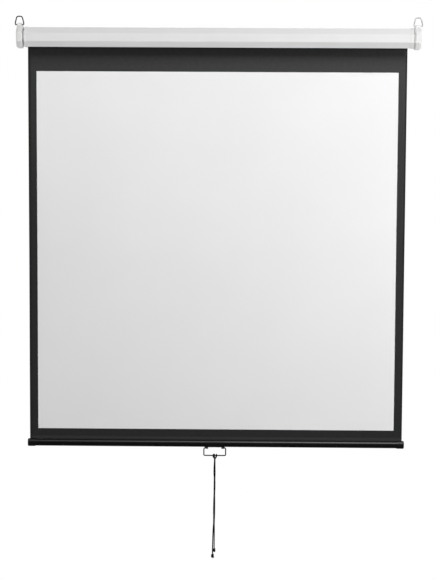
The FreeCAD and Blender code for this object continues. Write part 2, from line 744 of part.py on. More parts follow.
def make_spring():
    wire = size("spring_wire")
    radius = size("spring_diameter") / 2
    start_x = place("spear_start") + size("collar_length")
    end_x = place("spring_plug_start")
    tail = size("spring_tail")
    lead = size("spring_lead")
    quarters = int(4 * size("spring_turns"))
    pitch = (end_x - start_x - 2 * (tail + lead)) / quarters
    climb = pitch / (radius * math.pi / 2)

    def on_coil(step):
        angle = math.pi / 2 * step
        spot = V(start_x + tail + lead + pitch * step, radius * math.cos(angle), radius * math.sin(angle))
        way = V(climb, -math.sin(angle), math.cos(angle)).normalize()
        return spot, way

    def at_end(x, step):
        angle = math.pi / 2 * step
        return V(x, radius * math.cos(angle), radius * math.sin(angle))

    first = at_end(start_x + tail, -1)
    last = at_end(end_x - tail, quarters + 1)
    arcs = biarc(first, V(1, 0, 0), *on_coil(0))
    for step in range(quarters):
        arcs += biarc(*on_coil(step), *on_coil(step + 1))
    arcs += biarc(*on_coil(quarters), last, V(1, 0, 0))
    edges = [Part.LineSegment(first - V(tail, 0, 0), first).toShape()]
    edges += [arc.toShape() for arc in arcs]
    edges.append(Part.LineSegment(last, last + V(tail, 0, 0)).toShape())
    path = Part.Wire(edges)
    solid, share = tube(path, wire)
    spots = path.discretize(Number=24 * int(size("spring_turns")))
    apart = int(len(spots) / size("spring_turns") / 2)
    gap = min((a - b).Length for k, a in enumerate(spots) for b in spots[k + apart:k + 3 * apart]) - wire
    print(f"torsion spring: wire {path.Length:.0f} mm, volume share {share:.4f}, gap to itself {gap:.2f} mm")
    feature("torsion_spring", solid, on_axis(0))


# Cloth and bottom bar

def make_cloth():
    cloth = block(CLOTH_LEFT, "Places.fabric_front", "Places.spline_z", "Places.fabric_width",
                  "Sizes.fabric_thickness", "Places.axis_z - Places.spline_z")
    named(cloth, "screen_fabric")


def make_bar():
    axis = ("Places.bar_y", "Places.bar_z")
    start = on_side(-1, "Places.bar_half", CLOTH)
    length = "2 * Places.bar_half"
    outer = rod(start, *axis, "Sizes.bar_diameter", length)
    inner = rod(start, *axis, "Places.bar_bore", length)
    slot = block(start, "Places.bar_y - Sizes.bar_slot / 2", "Places.bar_z", length, "Sizes.bar_slot",
                 "Sizes.bar_diameter")
    named(cut(outer, inner, slot, fuse(*[saddle_screw_hole(side) for side in SIDES.values()])), "bottom_bar")
    spline = rod(CLOTH_LEFT, "Places.bar_y", "Places.spline_z", "Sizes.spline_diameter",
                 "Places.fabric_width")
    slit = block(CLOTH_LEFT, "Places.bar_y - Sizes.spline_slit / 2", "Places.spline_z - Sizes.fabric_gap",
                 "Places.fabric_width", "Sizes.spline_slit", "Sizes.spline_diameter")
    named(cut(spline, slit), "hem_spline")


def make_bar_cap(name, side):
    bore = "Sizes.bar_diameter / 2 + Sizes.push_fit"
    rim = "Sizes.bar_cap_diameter / 2"
    near = on_side(side, "Places.bar_cap_start", CLOTH)
    seat = on_side(side, "Places.bar_half", CLOTH)
    far = on_side(side, "Places.bar_cap_end", CLOTH)
    body = turned([(near, bore), (near, rim), (far, rim), (far, "0"), (seat, "0"), (seat, bore)],
                  y="Places.bar_y", z="Places.bar_z")
    doc.recompute()
    turn = body.Tip
    far_x = place("cloth_x") + side * place("bar_cap_end")
    edges = [f"Edge{k}" for k, edge in enumerate(turn.Shape.Edges, start=1)
             if edge.Closed and abs(edge.CenterOfMass.x - far_x) < 0.01]
    rounding = body.newObject("PartDesign::Fillet", "Rounding")
    rounding.Base = (turn, edges)
    bind(rounding, Radius="Sizes.bar_cap_round")
    slit_end = "Places.cloth_half + Sizes.bar_slot / 2"
    slit_x, slit_length = mirrored(side, "Places.bar_cap_start", slit_end, CLOTH)
    slit = block(slit_x, "Places.bar_y - Sizes.bar_slot / 2", "Places.bar_z", slit_length, "Sizes.bar_slot",
                 "Sizes.bar_cap_diameter")
    return named(cut(body, slit), f"{name}_bar_cap")


# Saddle clipped round the bar, its lugs, and the bail that swings in them

def make_saddle():
    start = on_side(-1, "Places.saddle_half", SADDLE)
    length = "2 * Places.saddle_half"
    bar_radius = "Sizes.bar_diameter / 2"
    outer = rod(start, "Places.bar_y", "Places.bar_z", "Sizes.bar_diameter + 2 * Sizes.saddle_wall", length)
    clip = cut(outer, block(start, "Places.bar_y - Sizes.bar_diameter", "Places.bar_z + Sizes.saddle_top",
                            length, "2 * Sizes.bar_diameter", "Sizes.bar_diameter"))
    parts = [clip]
    for side in SIDES.values():
        x, _ = mirrored(side, "Sizes.lug_inner", "Places.lug_outer", SADDLE)
        parts.append(rod(x, "Places.bar_y", "Places.bail_z", "Sizes.lug_diameter", "Sizes.lug_width"))
        parts.append(block(x, "Places.bar_y - Sizes.lug_diameter / 2", "Places.bail_z", "Sizes.lug_width",
                           "Sizes.lug_diameter", f"Sizes.bail_pivot_drop + {bar_radius} / 2"))
    deepest = "(Sizes.web_drop + Sizes.web_arch)"
    web = block(on_side(-1, "Sizes.lug_inner", SADDLE), "Places.bar_y - Sizes.web_thickness / 2",
                f"Places.bar_z - {bar_radius} - {deepest}", "2 * Sizes.lug_inner", "Sizes.web_thickness",
                f"{deepest} + {bar_radius} / 2")
    arch_radius = "(Sizes.lug_inner ^ 2 + Sizes.web_arch ^ 2) / (2 * Sizes.web_arch)"
    arch = rod(SADDLE, "Places.bar_y - Sizes.web_thickness",
               f"Places.bar_z - {bar_radius} - Sizes.web_drop - {arch_radius}", f"2 * {arch_radius}",
               "2 * Sizes.web_thickness", ALONG_Y)
    parts.append(cut(web, arch))
    seat = rod(start, "Places.bar_y", "Places.bar_z", "Sizes.bar_diameter + 2 * Sizes.push_fit", length)
    pivot = rod(start, "Places.bar_y", "Places.bail_z", "Sizes.bail_wire + 2 * Sizes.running_fit", length)
    holes = [saddle_screw_hole(side) for side in SIDES.values()]
    named(cut(fuse(*parts), seat, pivot, fuse(*holes)), "handle_saddle")
    screws = [pan_head_screw(on_side(side, "Sizes.saddle_screw_spread", SADDLE),
                             f"Places.bar_y + {bar_radius} + Sizes.saddle_wall", "Places.bar_z",
                             "Sizes.screw_length", ALONG_Y) for side in SIDES.values()]
    named(group(*screws), "saddle_screws")


def saddle_screw_hole(side):
    return rod(on_side(side, "Sizes.saddle_screw_spread", SADDLE), "Places.bar_y", "Places.bar_z",
               "Sizes.screw_diameter + 2 * Sizes.push_fit", "Sizes.bar_cap_diameter", ALONG_Y)


def make_bail():
    half = size("bail_half_width")
    foot = size("lug_inner") + size("running_fit")
    drop = size("bail_drop")
    outline = [(-foot, 0), (-half, 0), (-half, -drop), (half, -drop), (half, 0), (foot, 0)]
    points = [V(place("saddle_x") + x, place("bar_y"), place("bail_z") + z) for x, z in outline]
    top, bottom = size("bail_top_round"), size("bail_bottom_round")
    solid, share = tube(rounded_path(points, [top, bottom, bottom, top]), size("bail_wire"))
    print(f"bail: volume share {share:.4f}")
    feature("pull_bail", solid)


# Hanging loops of bent wire, their feet sprung into the ears

def make_loop(name, side):
    half = size("loop_half_width")
    top_half = size("loop_top_half_width")
    height = size("loop_height")
    foot = size("loop_foot_gap") / 2
    shoulder = size("loop_shoulder")
    outline = [(-foot, 0), (-half, 0), (-half, shoulder), (-top_half, height),
               (top_half, height), (half, shoulder), (half, 0), (foot, 0)]
    middle = side * place("ear_middle")
    points = [V(middle + x, place("axis_y"), place("axis_z") + place("pivot_rise") + z) for x, z in outline]
    rounds = [size("loop_foot_round"), size("loop_shoulder_round"), size("loop_top_round")]
    radii = rounds + rounds[::-1]
    solid, share = tube(rounded_path(points, radii), size("loop_wire"))
    print(f"{name} hanging loop: volume share {share:.4f}")
    feature(f"{name}_hanging_loop", solid)


# Pull cord: hitch on the bail's lower wire, two strands, and a knot at each end

def make_hitch():
    ring_radius = "(Sizes.bail_wire / 2 + Sizes.cord_clear + Sizes.cord_diameter / 2)"
    rings = []
    for side, alias in ((-1, "hitch_outer_round"), (-1, "hitch_inner_round"), (1, "hitch_far_round")):
        ring = bind(doc.addObject("Part::Torus", "Round"), Radius1=ring_radius,
                    Radius2="Sizes.cord_diameter / 2")
        x = on_side(side, f"Sizes.{alias}", SADDLE)
        rings.append(put(ring, x, "Places.bar_y", "Places.grip_z", ALONG_X))
    lump = bind(doc.addObject("Part::Ellipsoid", "Lump"), Radius1="Sizes.lump_height / 2",
                Radius2="Sizes.lump_width / 2", Radius3="Sizes.lump_depth / 2")
    put(lump, on_side(-1, "Sizes.lump_shift", SADDLE), "Places.bar_y", "Places.grip_z - Sizes.lump_drop")
    strap = rod(on_side(1, "Sizes.hitch_far_round", SADDLE), "Places.bar_y", f"Places.grip_z - {ring_radius}",
                "Sizes.cord_diameter", "Sizes.strap_length", STRAP_TURN)
    below = block(on_side(-1, "Sizes.lump_width", SADDLE), "Places.bar_y - Sizes.lump_width",
                  "Places.hitch_z - Sizes.lump_height", "2 * Sizes.lump_width", "2 * Sizes.lump_width",
                  "Sizes.lump_height")
    named(cut(fuse(*rings, lump, strap), below), "cord_hitch")


def make_strand(name, route):
    points = [V(place("saddle_x") + x, place("bar_y") + y, place("grip_z") - depth) for x, y, depth in route]
    radii = cord_radii(points)
    path = rounded_path(points, radii)
    solid, share = tube(path, size("cord_diameter"))
    print(f"{name} strand: {path.Length:.1f} mm, volume share {share:.4f}, radii "
          + " ".join(f"{r:.0f}" for r in radii))
    feature(f"cord_{name}_strand", solid)
    make_end_knot(name, route[-1])


def make_end_knot(name, strand_end):
    x, y, depth = strand_end
    middle = f"{SADDLE} + ({x})"
    knot = bind(doc.addObject("Part::Ellipsoid", "Knot"), Radius1="Sizes.knot_length / 2",
                Radius2="Sizes.knot_width / 2", Radius3="Sizes.knot_width / 2")
    put(knot, middle, f"Places.bar_y + {y}", f"Places.grip_z - {depth} - Sizes.knot_sink")
    lid = block(f"{middle} - Sizes.knot_width", f"Places.bar_y + {y} - Sizes.knot_width",
                f"Places.grip_z - {depth}", "2 * Sizes.knot_width", "2 * Sizes.knot_width",
                "Sizes.knot_length")
    named(cut(knot, lid), f"cord_{name}_knot")


make_case()
for cap_name, cap_side in SIDES.items():
    make_cap(cap_name, cap_side)
    make_cap_screws(cap_name, cap_side)
    make_bracket_screws(cap_name, cap_side)
    make_loop(cap_name, cap_side)
    make_bar_cap(cap_name, cap_side)
bush_x, bush_length = mirrored(-1, "Places.hub_start", "Places.plate_start")
make_bracket("left", -1, rod(bush_x, "Places.axis_y", "Places.axis_z", "Sizes.bush_diameter", bush_length))
seat_x, seat_length = mirrored(1, "Places.hub_start", "Places.wall_inner")
make_bracket("right", 1, spear_blank(seat_x, seat_length, "Sizes.push_fit"))
make_roller()
make_idle_end()
make_spear_end()
make_spear()
make_pawls()
make_ratchet()
make_spring()
make_cloth()
make_bar()
make_saddle()
make_bail()
make_hitch()
make_strand("long", LONG_STRAND)
make_strand("short", SHORT_STRAND)
doc.recompute()

faults = [obj.Label for obj in doc.Objects if "Invalid" in obj.State or "Error" in obj.State]
faults += [obj.Label for obj in nodes if obj.Shape.isNull() or not obj.Shape.isValid()]
if faults:
    raise RuntimeError("faulty pieces: " + ", ".join(faults))

os.makedirs("parts", exist_ok=True)
for node in nodes:
    node.Shape.exportStep(f"parts/{node.Label}.step")
    box = node.Shape.optimalBoundingBox(False)
    print(f"{node.Label}: {len(node.Shape.Solids)} solid, {node.Shape.Volume / 1000:.2f} cm3, "
          f"x {box.XMin:.1f}..{box.XMax:.1f} y {box.YMin:.1f}..{box.YMax:.1f} "
          f"z {box.ZMin:.1f}..{box.ZMax:.1f}")
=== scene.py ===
# %% [markdown]
# # A pull-down projection screen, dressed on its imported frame
#
# The real thing is a white steel case that hangs from two wire loops, with a cloth that winds on a spring
# roller inside it. A round black bar keeps the cloth flat, and a wire bail with a doubled cord pulls it down.

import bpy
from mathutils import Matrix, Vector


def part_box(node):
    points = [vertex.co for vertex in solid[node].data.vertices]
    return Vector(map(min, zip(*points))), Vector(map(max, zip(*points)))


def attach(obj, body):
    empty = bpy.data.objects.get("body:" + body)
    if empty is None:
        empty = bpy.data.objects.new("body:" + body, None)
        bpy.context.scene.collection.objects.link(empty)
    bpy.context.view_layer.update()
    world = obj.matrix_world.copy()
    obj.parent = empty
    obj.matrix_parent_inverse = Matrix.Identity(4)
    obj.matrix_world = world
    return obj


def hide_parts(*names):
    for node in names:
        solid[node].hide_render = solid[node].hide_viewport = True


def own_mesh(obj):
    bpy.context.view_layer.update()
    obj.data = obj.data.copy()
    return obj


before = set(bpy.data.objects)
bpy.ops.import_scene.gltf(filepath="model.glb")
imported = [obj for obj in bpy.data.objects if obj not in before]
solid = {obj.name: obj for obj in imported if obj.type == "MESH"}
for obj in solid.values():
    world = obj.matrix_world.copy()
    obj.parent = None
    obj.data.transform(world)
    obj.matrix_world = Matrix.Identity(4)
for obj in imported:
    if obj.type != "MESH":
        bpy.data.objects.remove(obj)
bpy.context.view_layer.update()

import math

import bmesh
import bpy
from mathutils import Matrix, Vector

scene = bpy.context.scene
MM = 0.001

# %% [markdown]
# ## The camera
#
# The picture was taken from just below the height of the case, about eight metres away, tipped down by six
# degrees. A camera could be turned by eye, but lines of known size (the case's folds, the image area, the
# bar) fix it far better, so these values come from fitting those lines. The image is 435 by 580 pixels; the
# sensor width counts for its long side, which turns a focal length in pixels into a lens.

# %% Place the camera
PICTURE_HEIGHT = 580
SENSOR = 36.0
FOCAL_PIXELS = 1943.72
CAMERA_PLACE = (0.1291, -8.129, -0.2544)
CAMERA_PITCH, CAMERA_YAW, CAMERA_ROLL = (math.radians(a) for a in (-6.1717, 0.9105, 0.2715))

camera_data = bpy.data.cameras.new("picture_camera")
camera_data.sensor_fit = "AUTO"
camera_data.sensor_width = SENSOR
camera_data.lens = FOCAL_PIXELS * SENSOR / PICTURE_HEIGHT
camera = bpy.data.objects.new("picture_camera", camera_data)
scene.collection.objects.link(camera)
camera.matrix_world = (
    Matrix.Translation(CAMERA_PLACE)
    @ Matrix.Rotation(CAMERA_YAW, 4, "Z")
    @ Matrix.Rotation(math.radians(90) + CAMERA_PITCH, 4, "X")
    @ Matrix.Rotation(CAMERA_ROLL, 4, "Z")
)
scene.camera = camera
scene.view_settings.view_transform = "Standard"
print("lens:", round(camera_data.lens, 2), "mm")

# %% [markdown]
# ## The studio: soft light, white surroundings, a pale floor
#
# The cloth is brightest at its upper right and darkest at its lower left. One large soft lamp at the right
# front explains that, with about as much light again from all round and a weak lamp near the upper left
# corner. A rim lamp draws out the left cap, and a back lamp keeps the back readable. The bar also carries one
# long soft line of light, brighter on the right: two rows of ceiling light give it. They show only as gloss,
# because the cloth and the case would be far too bright under them. The world gives the even light at a
# plain level. What the camera or a shiny surface sees directly is white instead, which a light path switch
# does without putting more light on the object.

# %% Light the room
EVEN_LIGHT = 0.46


def combine(tree, operation, first, second):
    """One value worked out from two"""
    maths = tree.nodes.new("ShaderNodeMath")
    maths.operation = operation
    tree.links.new(first, maths.inputs[0])
    tree.links.new(second, maths.inputs[1])
    return maths.outputs[0]


def seen_directly(tree):
    """1 for what the camera, a gloss or a clear surface sees, 0 for plain light"""
    path = tree.nodes.new("ShaderNodeLightPath")
    seen = path.outputs["Is Camera Ray"]
    for ray in ("Is Glossy Ray", "Is Transmission Ray"):
        seen = combine(tree, "MAXIMUM", seen, path.outputs[ray])
    return seen


def strength_by_ray(tree, plain, direct):
    """A strength that is plain for light and direct for what is seen"""
    choice = tree.nodes.new("ShaderNodeMapRange")
    choice.inputs["To Min"].default_value = plain
    choice.inputs["To Max"].default_value = direct
    tree.links.new(seen_directly(tree), choice.inputs["Value"])
    return choice.outputs["Result"]


room = bpy.data.worlds.new("white_room")
room.use_nodes = True
scene.world = room
room_light = room.node_tree.nodes["Background"]
room_light.inputs["Color"].default_value = (1, 1, 1, 1)
room.node_tree.links.new(strength_by_ray(room.node_tree, EVEN_LIGHT, 1.0), room_light.inputs["Strength"])
print("even light:", EVEN_LIGHT)

# %% Hang the lamps
ROW_Y, ROW_HEIGHT = -1.9, 2.3
ROW_LENGTH, ROW_WIDTH = 1.6, 1.0
BAR_Y, BAR_HEIGHT = -0.03, -1.78


def soft_lamp(name, place, target, power, size):
    """A square soft box at a place, turned to a target, which the camera doesn't see"""
    data = bpy.data.lights.new(name, "AREA")
    data.energy = power
    data.size = size
    lamp = bpy.data.objects.new(name, data)
    scene.collection.objects.link(lamp)
    lamp.location = place
    lamp.rotation_euler = (Vector(target) - Vector(place)).to_track_quat("-Z", "Y").to_euler()
    lamp.visible_camera = False
    return lamp


soft_lamp("key_lamp", place=(2.2, -2.98, 0.15), target=(0.1, 0.0, -0.75), power=79.0, size=0.8)
soft_lamp("corner_lamp", place=(-1.09, -1.2, 0.2), target=(0.0, 0.0, -0.75), power=2.8, size=0.3)
soft_lamp("left_rim_lamp", place=(-2.4, 0.3, -0.1), target=(-0.83, -0.05, -0.08), power=9.0, size=0.5)
soft_lamp("back_lamp", place=(-1.6, 2.8, 1.0), target=(0.0, 0.0, -0.7), power=22.0, size=1.2)
for row_name, row_x, row_power in (("left_ceiling_row", -0.6, 300.0), ("right_ceiling_row", 1.0, 1500.0)):
    row = soft_lamp(
        row_name, place=(row_x, ROW_Y, ROW_HEIGHT), target=(row_x, BAR_Y, BAR_HEIGHT),
        power=row_power, size=ROW_LENGTH,
    )
    row.data.shape = "RECTANGLE"
    row.data.size_y = ROW_WIDTH
    row.visible_diffuse = False

# %% Lay the floor
FLOOR_LEVEL = -2.9
FLOOR_HALF = 1.9
FLOOR_GREY = (0.46, 0.46, 0.46, 1)
FLOOR_GLOW = 0.6

floor_mesh = bpy.data.meshes.new("floor")
floor_mesh.from_pydata(
    [(x * FLOOR_HALF, y * FLOOR_HALF, FLOOR_LEVEL) for x, y in ((-1, -1), (1, -1), (1, 1), (-1, 1))],
    [], [(0, 1, 2, 3)],
)
floor = bpy.data.objects.new("floor", floor_mesh)
scene.collection.objects.link(floor)

pale_floor = bpy.data.materials.new("pale_floor")
pale_floor.use_nodes = True
floor_tree = pale_floor.node_tree
floor_tree.nodes.clear()
floor_matt = floor_tree.nodes.new("ShaderNodeBsdfDiffuse")
floor_matt.inputs["Color"].default_value = FLOOR_GREY
floor_glow = floor_tree.nodes.new("ShaderNodeEmission")
floor_tree.links.new(strength_by_ray(floor_tree, 0.0, FLOOR_GLOW), floor_glow.inputs["Strength"])
floor_both = floor_tree.nodes.new("ShaderNodeAddShader")
floor_out = floor_tree.nodes.new("ShaderNodeOutputMaterial")
floor_tree.links.new(floor_matt.outputs[0], floor_both.inputs[0])
floor_tree.links.new(floor_glow.outputs[0], floor_both.inputs[1])
floor_tree.links.new(floor_both.outputs[0], floor_out.inputs["Surface"])
floor_mesh.materials.append(pale_floor)
print("floor at", FLOOR_LEVEL, "m")

# %% [markdown]
# ## Helpers for finishes
#
# Every finish is one Principled shader with a few textures in front of it: a mottle that shifts its colour,
# an uneven gloss, and a grain that the light catches. Object coordinates carry them, because the solids have
# no unwrapped surface, and they keep the grain at its real size in metres.

# %% Start a finish


def new_finish(name, roughness, metal=0.0, gloss=0.5):
    """A material with its shader; what is the same all over is set on the shader"""
    finish = bpy.data.materials.new(name)
    finish.use_nodes = True
    shader = finish.node_tree.nodes["Principled BSDF"]
    shader.inputs["Roughness"].default_value = roughness
    shader.inputs["Metallic"].default_value = metal
    shader.inputs["Specular IOR Level"].default_value = gloss
    return finish, finish.node_tree, shader


def grey(level):
    """A colour without a tint"""
    return (level, level, level)


print("finishes start from a plain shader")

# %% Textures in real sizes


def position(tree, stretch=(1, 1, 1)):
    """Object coordinates in metres, drawn out along an axis where stretch is small"""
    place = tree.nodes.new("ShaderNodeTexCoord").outputs["Object"]
    if stretch == (1, 1, 1):
        return place
    scaled = tree.nodes.new("ShaderNodeMapping")
    scaled.inputs["Scale"].default_value = stretch
    tree.links.new(place, scaled.inputs["Vector"])
    return scaled.outputs["Vector"]


def axes_of(tree):
    """Object coordinates as separate X, Y and Z values"""
    axes = tree.nodes.new("ShaderNodeSeparateXYZ")
    tree.links.new(position(tree), axes.inputs[0])
    return axes.outputs


def cloudy(tree, scale, detail=3.0, stretch=(1, 1, 1)):
    """A noise from 0 to 1 whose lumps are about 1/scale metres"""
    noise = tree.nodes.new("ShaderNodeTexNoise")
    noise.inputs["Scale"].default_value = scale
    noise.inputs["Detail"].default_value = detail
    tree.links.new(position(tree, stretch), noise.inputs["Vector"])
    return noise.outputs["Fac"]


def spread(tree, value, low, high, start=0.3, end=0.7):
    """Spread a texture's value between two numbers"""
    span = tree.nodes.new("ShaderNodeMapRange")
    for socket, number in zip(("From Min", "From Max", "To Min", "To Max"), (start, end, low, high)):
        span.inputs[socket].default_value = number
    tree.links.new(value, span.inputs["Value"])
    return span.outputs["Result"]


print("textures are measured in metres")

# %% Colour, gloss and grain


def shade_between(tree, value, first, second):
    """A colour between two, by a value from 0 to 1; each is a plain colour or a texture's own"""
    mix = tree.nodes.new("ShaderNodeMix")
    mix.data_type = "RGBA"
    for socket, colour in (("A", first), ("B", second)):
        if isinstance(colour, tuple):
            mix.inputs[socket].default_value = (*colour, 1)
        else:
            tree.links.new(colour, mix.inputs[socket])
    tree.links.new(value, mix.inputs["Factor"])
    return mix.outputs["Result"]


def mottled(tree, dark, light, scale, detail=3.0, stretch=(1, 1, 1)):
    """A colour that shifts gently between two shades"""
    lumps = spread(tree, cloudy(tree, scale, detail, stretch), 0.0, 1.0)
    return shade_between(tree, lumps, dark, light)


def mottle(tree, shader, dark, light, scale, detail=3.0, stretch=(1, 1, 1)):
    """Give a shader such a colour"""
    tree.links.new(mottled(tree, dark, light, scale, detail, stretch), shader.inputs["Base Color"])


def uneven_gloss(tree, shader, low, high, scale, stretch=(1, 1, 1)):
    """Let the roughness wander between two values"""
    tree.links.new(spread(tree, cloudy(tree, scale, 4.0, stretch), low, high), shader.inputs["Roughness"])


def raise_grain(tree, shader, height, depth, strength):
    """Let a texture raise the surface by a depth in metres"""
    bump = tree.nodes.new("ShaderNodeBump")
    bump.inputs["Distance"].default_value = depth
    bump.inputs["Strength"].default_value = strength
    tree.links.new(height, bump.inputs["Height"])
    tree.links.new(bump.outputs["Normal"], shader.inputs["Normal"])


print("finish helpers ready")

# %% [markdown]
# ## The pull cord
#
# A thin black braided cord is doubled through the bail, and its two strands hang side by side, half behind
# each other, to a knot at each end. A bevelled curve would give a plain tube; here the smooth line is read
# from a NURBS curve that has the route of the solids as its control points, and a mesh is wound along it, so
# that the braid's crossing carriers are real ridges.

# %% Read a smooth line from a route


def smooth_line(name, route, fineness):
    """Points of a NURBS line that has the route as its control points"""
    data = bpy.data.curves.new(name, "CURVE")
    data.dimensions = "3D"
    data.resolution_u = fineness
    spline = data.splines.new("NURBS")
    spline.points.add(len(route) - 1)
    for control, place in zip(spline.points, route):
        control.co = (*place, 1.0)
    spline.order_u = 3
    spline.use_endpoint_u = True
    spline.resolution_u = fineness
    line = bpy.data.objects.new(name, data)
    scene.collection.objects.link(line)
    bpy.context.view_layer.update()
    read = bpy.data.meshes.new_from_object(line)
    points = [v.co.copy() for v in read.vertices]
    bpy.data.objects.remove(line)
    bpy.data.curves.remove(data)
    bpy.data.meshes.remove(read)
    return points


def line_length(points):
    """Length of a run of points"""
    return sum((b - a).length for a, b in zip(points, points[1:]))


print("routes become smooth lines")

# %% Add a piece from points and faces


def add_piece(name, verts, faces, body, finishes):
    """A smooth mesh from points and faces, with its faces turned outwards, riding on a body"""
    mesh = bpy.data.meshes.new(name)
    mesh.from_pydata(verts, [], faces)
    shell = bmesh.new()
    shell.from_mesh(mesh)
    bmesh.ops.recalc_face_normals(shell, faces=shell.faces)
    shell.to_mesh(mesh)
    shell.free()
    mesh.polygons.foreach_set("use_smooth", [True] * len(mesh.polygons))
    for finish in finishes:
        mesh.materials.append(finish)
    piece = bpy.data.objects.new(name, mesh)
    scene.collection.objects.link(piece)
    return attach(piece, body)


# %% Wind a braid along a line
BRAID_SIDES = 24
BRAID_CARRIERS = 3
BRAID_LAY = 5.0 * MM
BRAID_VALLEY, BRAID_RIDGE = 0.88, 0.14


def braid(centres, thickness):
    """Rings of a braided cord round its centres: crossing ridges, and a flat cap at each end"""
    verts, run = [], 0.0
    side = (centres[0] - centres[1]).orthogonal()
    for i, centre in enumerate(centres):
        behind, ahead = centres[max(i - 1, 0)], centres[min(i + 1, len(centres) - 1)]
        along = (ahead - behind).normalized()
        side = (side - along * side.dot(along)).normalized()
        over = along.cross(side)
        run += (centre - behind).length if i else 0.0
        lay = math.pi * run / BRAID_LAY
        for k in range(BRAID_SIDES):
            turn = 2 * math.pi * k / BRAID_SIDES
            carrier = BRAID_CARRIERS * turn
            ridge = max(math.cos(carrier + lay) ** 2, math.cos(carrier - lay) ** 2)
            radius = thickness / 2 * (BRAID_VALLEY + BRAID_RIDGE * ridge)
            verts.append(centre + (side * math.cos(turn) + over * math.sin(turn)) * radius)
    faces = []
    for ring in range(len(centres) - 1):
        for k in range(BRAID_SIDES):
            a, b = ring * BRAID_SIDES + k, ring * BRAID_SIDES + (k + 1) % BRAID_SIDES
            faces.append((a, b, b + BRAID_SIDES, a + BRAID_SIDES))
    faces.append(tuple(range(BRAID_SIDES)))
    faces.append(tuple(range(len(verts) - BRAID_SIDES, len(verts))))
    return verts, faces


print("braid:", BRAID_SIDES, "sides")

# %% The cord's finish
cord_black, cord_tree, cord_shader = new_finish("black_braid", 0.75, gloss=0.03)
mottle(cord_tree, cord_shader, (0.004, 0.004, 0.0045), (0.01, 0.01, 0.0105), 900)
raise_grain(cord_tree, cord_shader, cloudy(cord_tree, 4000, 2.0), 0.06 * MM, 0.6)
print("cord finish:", cord_black.name)

# %% [markdown]
# The two routes are the ones that the solids follow, measured from the middle of the bail's lower wire:
# x across, y to the wall, and the depth below. They come out of the hitch one behind the other, drift a
# little apart and together again on the way down, and end in their knots.

# %% Hang the two strands
CORD = 5.0 * MM
bail_low, bail_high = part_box("pull_bail")
WIRE_RADIUS = (bail_high.y - bail_low.y) / 2
GRIP = Vector(((bail_low.x + bail_high.x) / 2, bail_low.y + WIRE_RADIUS, bail_low.z + WIRE_RADIUS))
LONG_ROUTE = [
    (-0.9, 2.7, 14), (-0.9, 2.7, 25), (-1.6, 2.6, 39), (-2.5, 2.3, 56), (-2.8, 2.0, 76),
    (-1.2, 2.7, 97), (-1.5, 2.6, 118), (-1.8, 2.5, 141), (-1.8, 2.8, 166), (-2.8, 2.4, 190),
    (-3.3, 2.2, 215), (-3.7, 2.1, 240), (-3.1, 2.5, 264), (-3.2, 2.8, 290), (-5.0, 2.1, 314),
    (-6.1, 1.7, 344), (-6.9, 2.4, 374), (-7.7, 2.9, 402), (-7.7, 2.9, 425),
]
SHORT_ROUTE = [
    (0.9, -2.7, 14), (0.9, -2.7, 25), (1.0, -2.6, 39), (1.3, -2.3, 56), (1.6, -2.0, 76),
    (0.8, -2.7, 97), (1.3, -2.6, 118), (1.2, -2.5, 141), (0.0, -2.8, 166), (0.6, -2.4, 190),
    (0.7, -2.2, 215), (0.5, -2.1, 240), (0.1, -2.5, 264), (-1.2, -2.8, 290), (-0.5, -2.1, 314),
    (-0.6, -1.7, 344), (-0.8, -2.9, 374), (-0.8, -2.9, 399),
]
STRAND_FINENESS = 48


def below_grip(x, y, depth):
    """A point of a route, in metres, from millimetres below the bail's lower wire"""
    return GRIP + Vector((x, y, -depth)) * MM


strand_lines = {}
strands = {}
for strand_name, route in (("long_strand", LONG_ROUTE), ("short_strand", SHORT_ROUTE)):
    line = smooth_line(strand_name, [below_grip(*point) for point in route], STRAND_FINENESS)
    strand = add_piece(strand_name, *braid(line, CORD), "pull_cord", [cord_black])
    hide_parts("cord_" + strand_name)
    strand_lines[strand_name], strands[strand_name] = line, strand
    print(strand_name, "rings:", len(line), "length:", round(line_length(line) * 1000, 1), "mm")

# %% [markdown]
# ## The hitch on the bail
#
# The doubled cord is tied to the bail with a hitch: one leg takes a turn and a half round the wire, the bight
# runs across the front, and the other leg goes over the wire once. It is one continuous line from strand to
# strand, so the hitch is wound along a single smooth route like the strands.

# %% Tie the hitch
WIRE_TO_CORD = 5.2
TURN_STEPS = 12
HITCH_FINENESS = 10


def round_the_wire(x_start, x_end, start, end):
    """Route points round the wire: 0 is its front, 90 its top, 180 its back"""
    steps = max(2, round(abs(end - start) / 360 * TURN_STEPS))
    for i in range(steps + 1):
        share = i / steps
        angle = math.radians(start + (end - start) * share)
        x = x_start + (x_end - x_start) * share
        yield (x, -WIRE_TO_CORD * math.cos(angle), -WIRE_TO_CORD * math.sin(angle))


HITCH_ROUTE = [
    (-0.9, 2.7, 16), (-1.0, 3.1, 12.5), (-1.0, 4.0, 9), (-0.8, 4.9, 5),
    *round_the_wire(-0.8, -6.6, 190, -360),
    (-6.5, -5.6, 4.8), (-4.4, -6.7, 8.2), (0.8, -7.1, 9.2), (5.8, -6.5, 7.4), (7.8, -5.8, 3.6),
    *round_the_wire(7.8, 6.8, 10, 190),
    (5.8, 4.9, 5.6), (4.3, 2.4, 9.6), (2.0, -1.3, 13), (0.9, -2.7, 17),
]
hitch_line = smooth_line("hitch", [below_grip(*point) for point in HITCH_ROUTE], HITCH_FINENESS)
hitch = add_piece("bail_hitch", *braid(hitch_line, CORD), "pull_cord", [cord_black])
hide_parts("cord_hitch")
print("hitch cord:", round(line_length(hitch_line) * 1000, 1), "mm in", len(hitch_line), "rings")

# %% [markdown]
# ## The end knots
#
# Each strand ends in a stopper knot so that it can't slip through a hand or fray: the cord is wrapped three
# times round itself and pulled tight, and a short tail is left. The longer strand's knot widens downwards
# like a drop. A ball would do from far away, but the wraps give the knot its real outline.

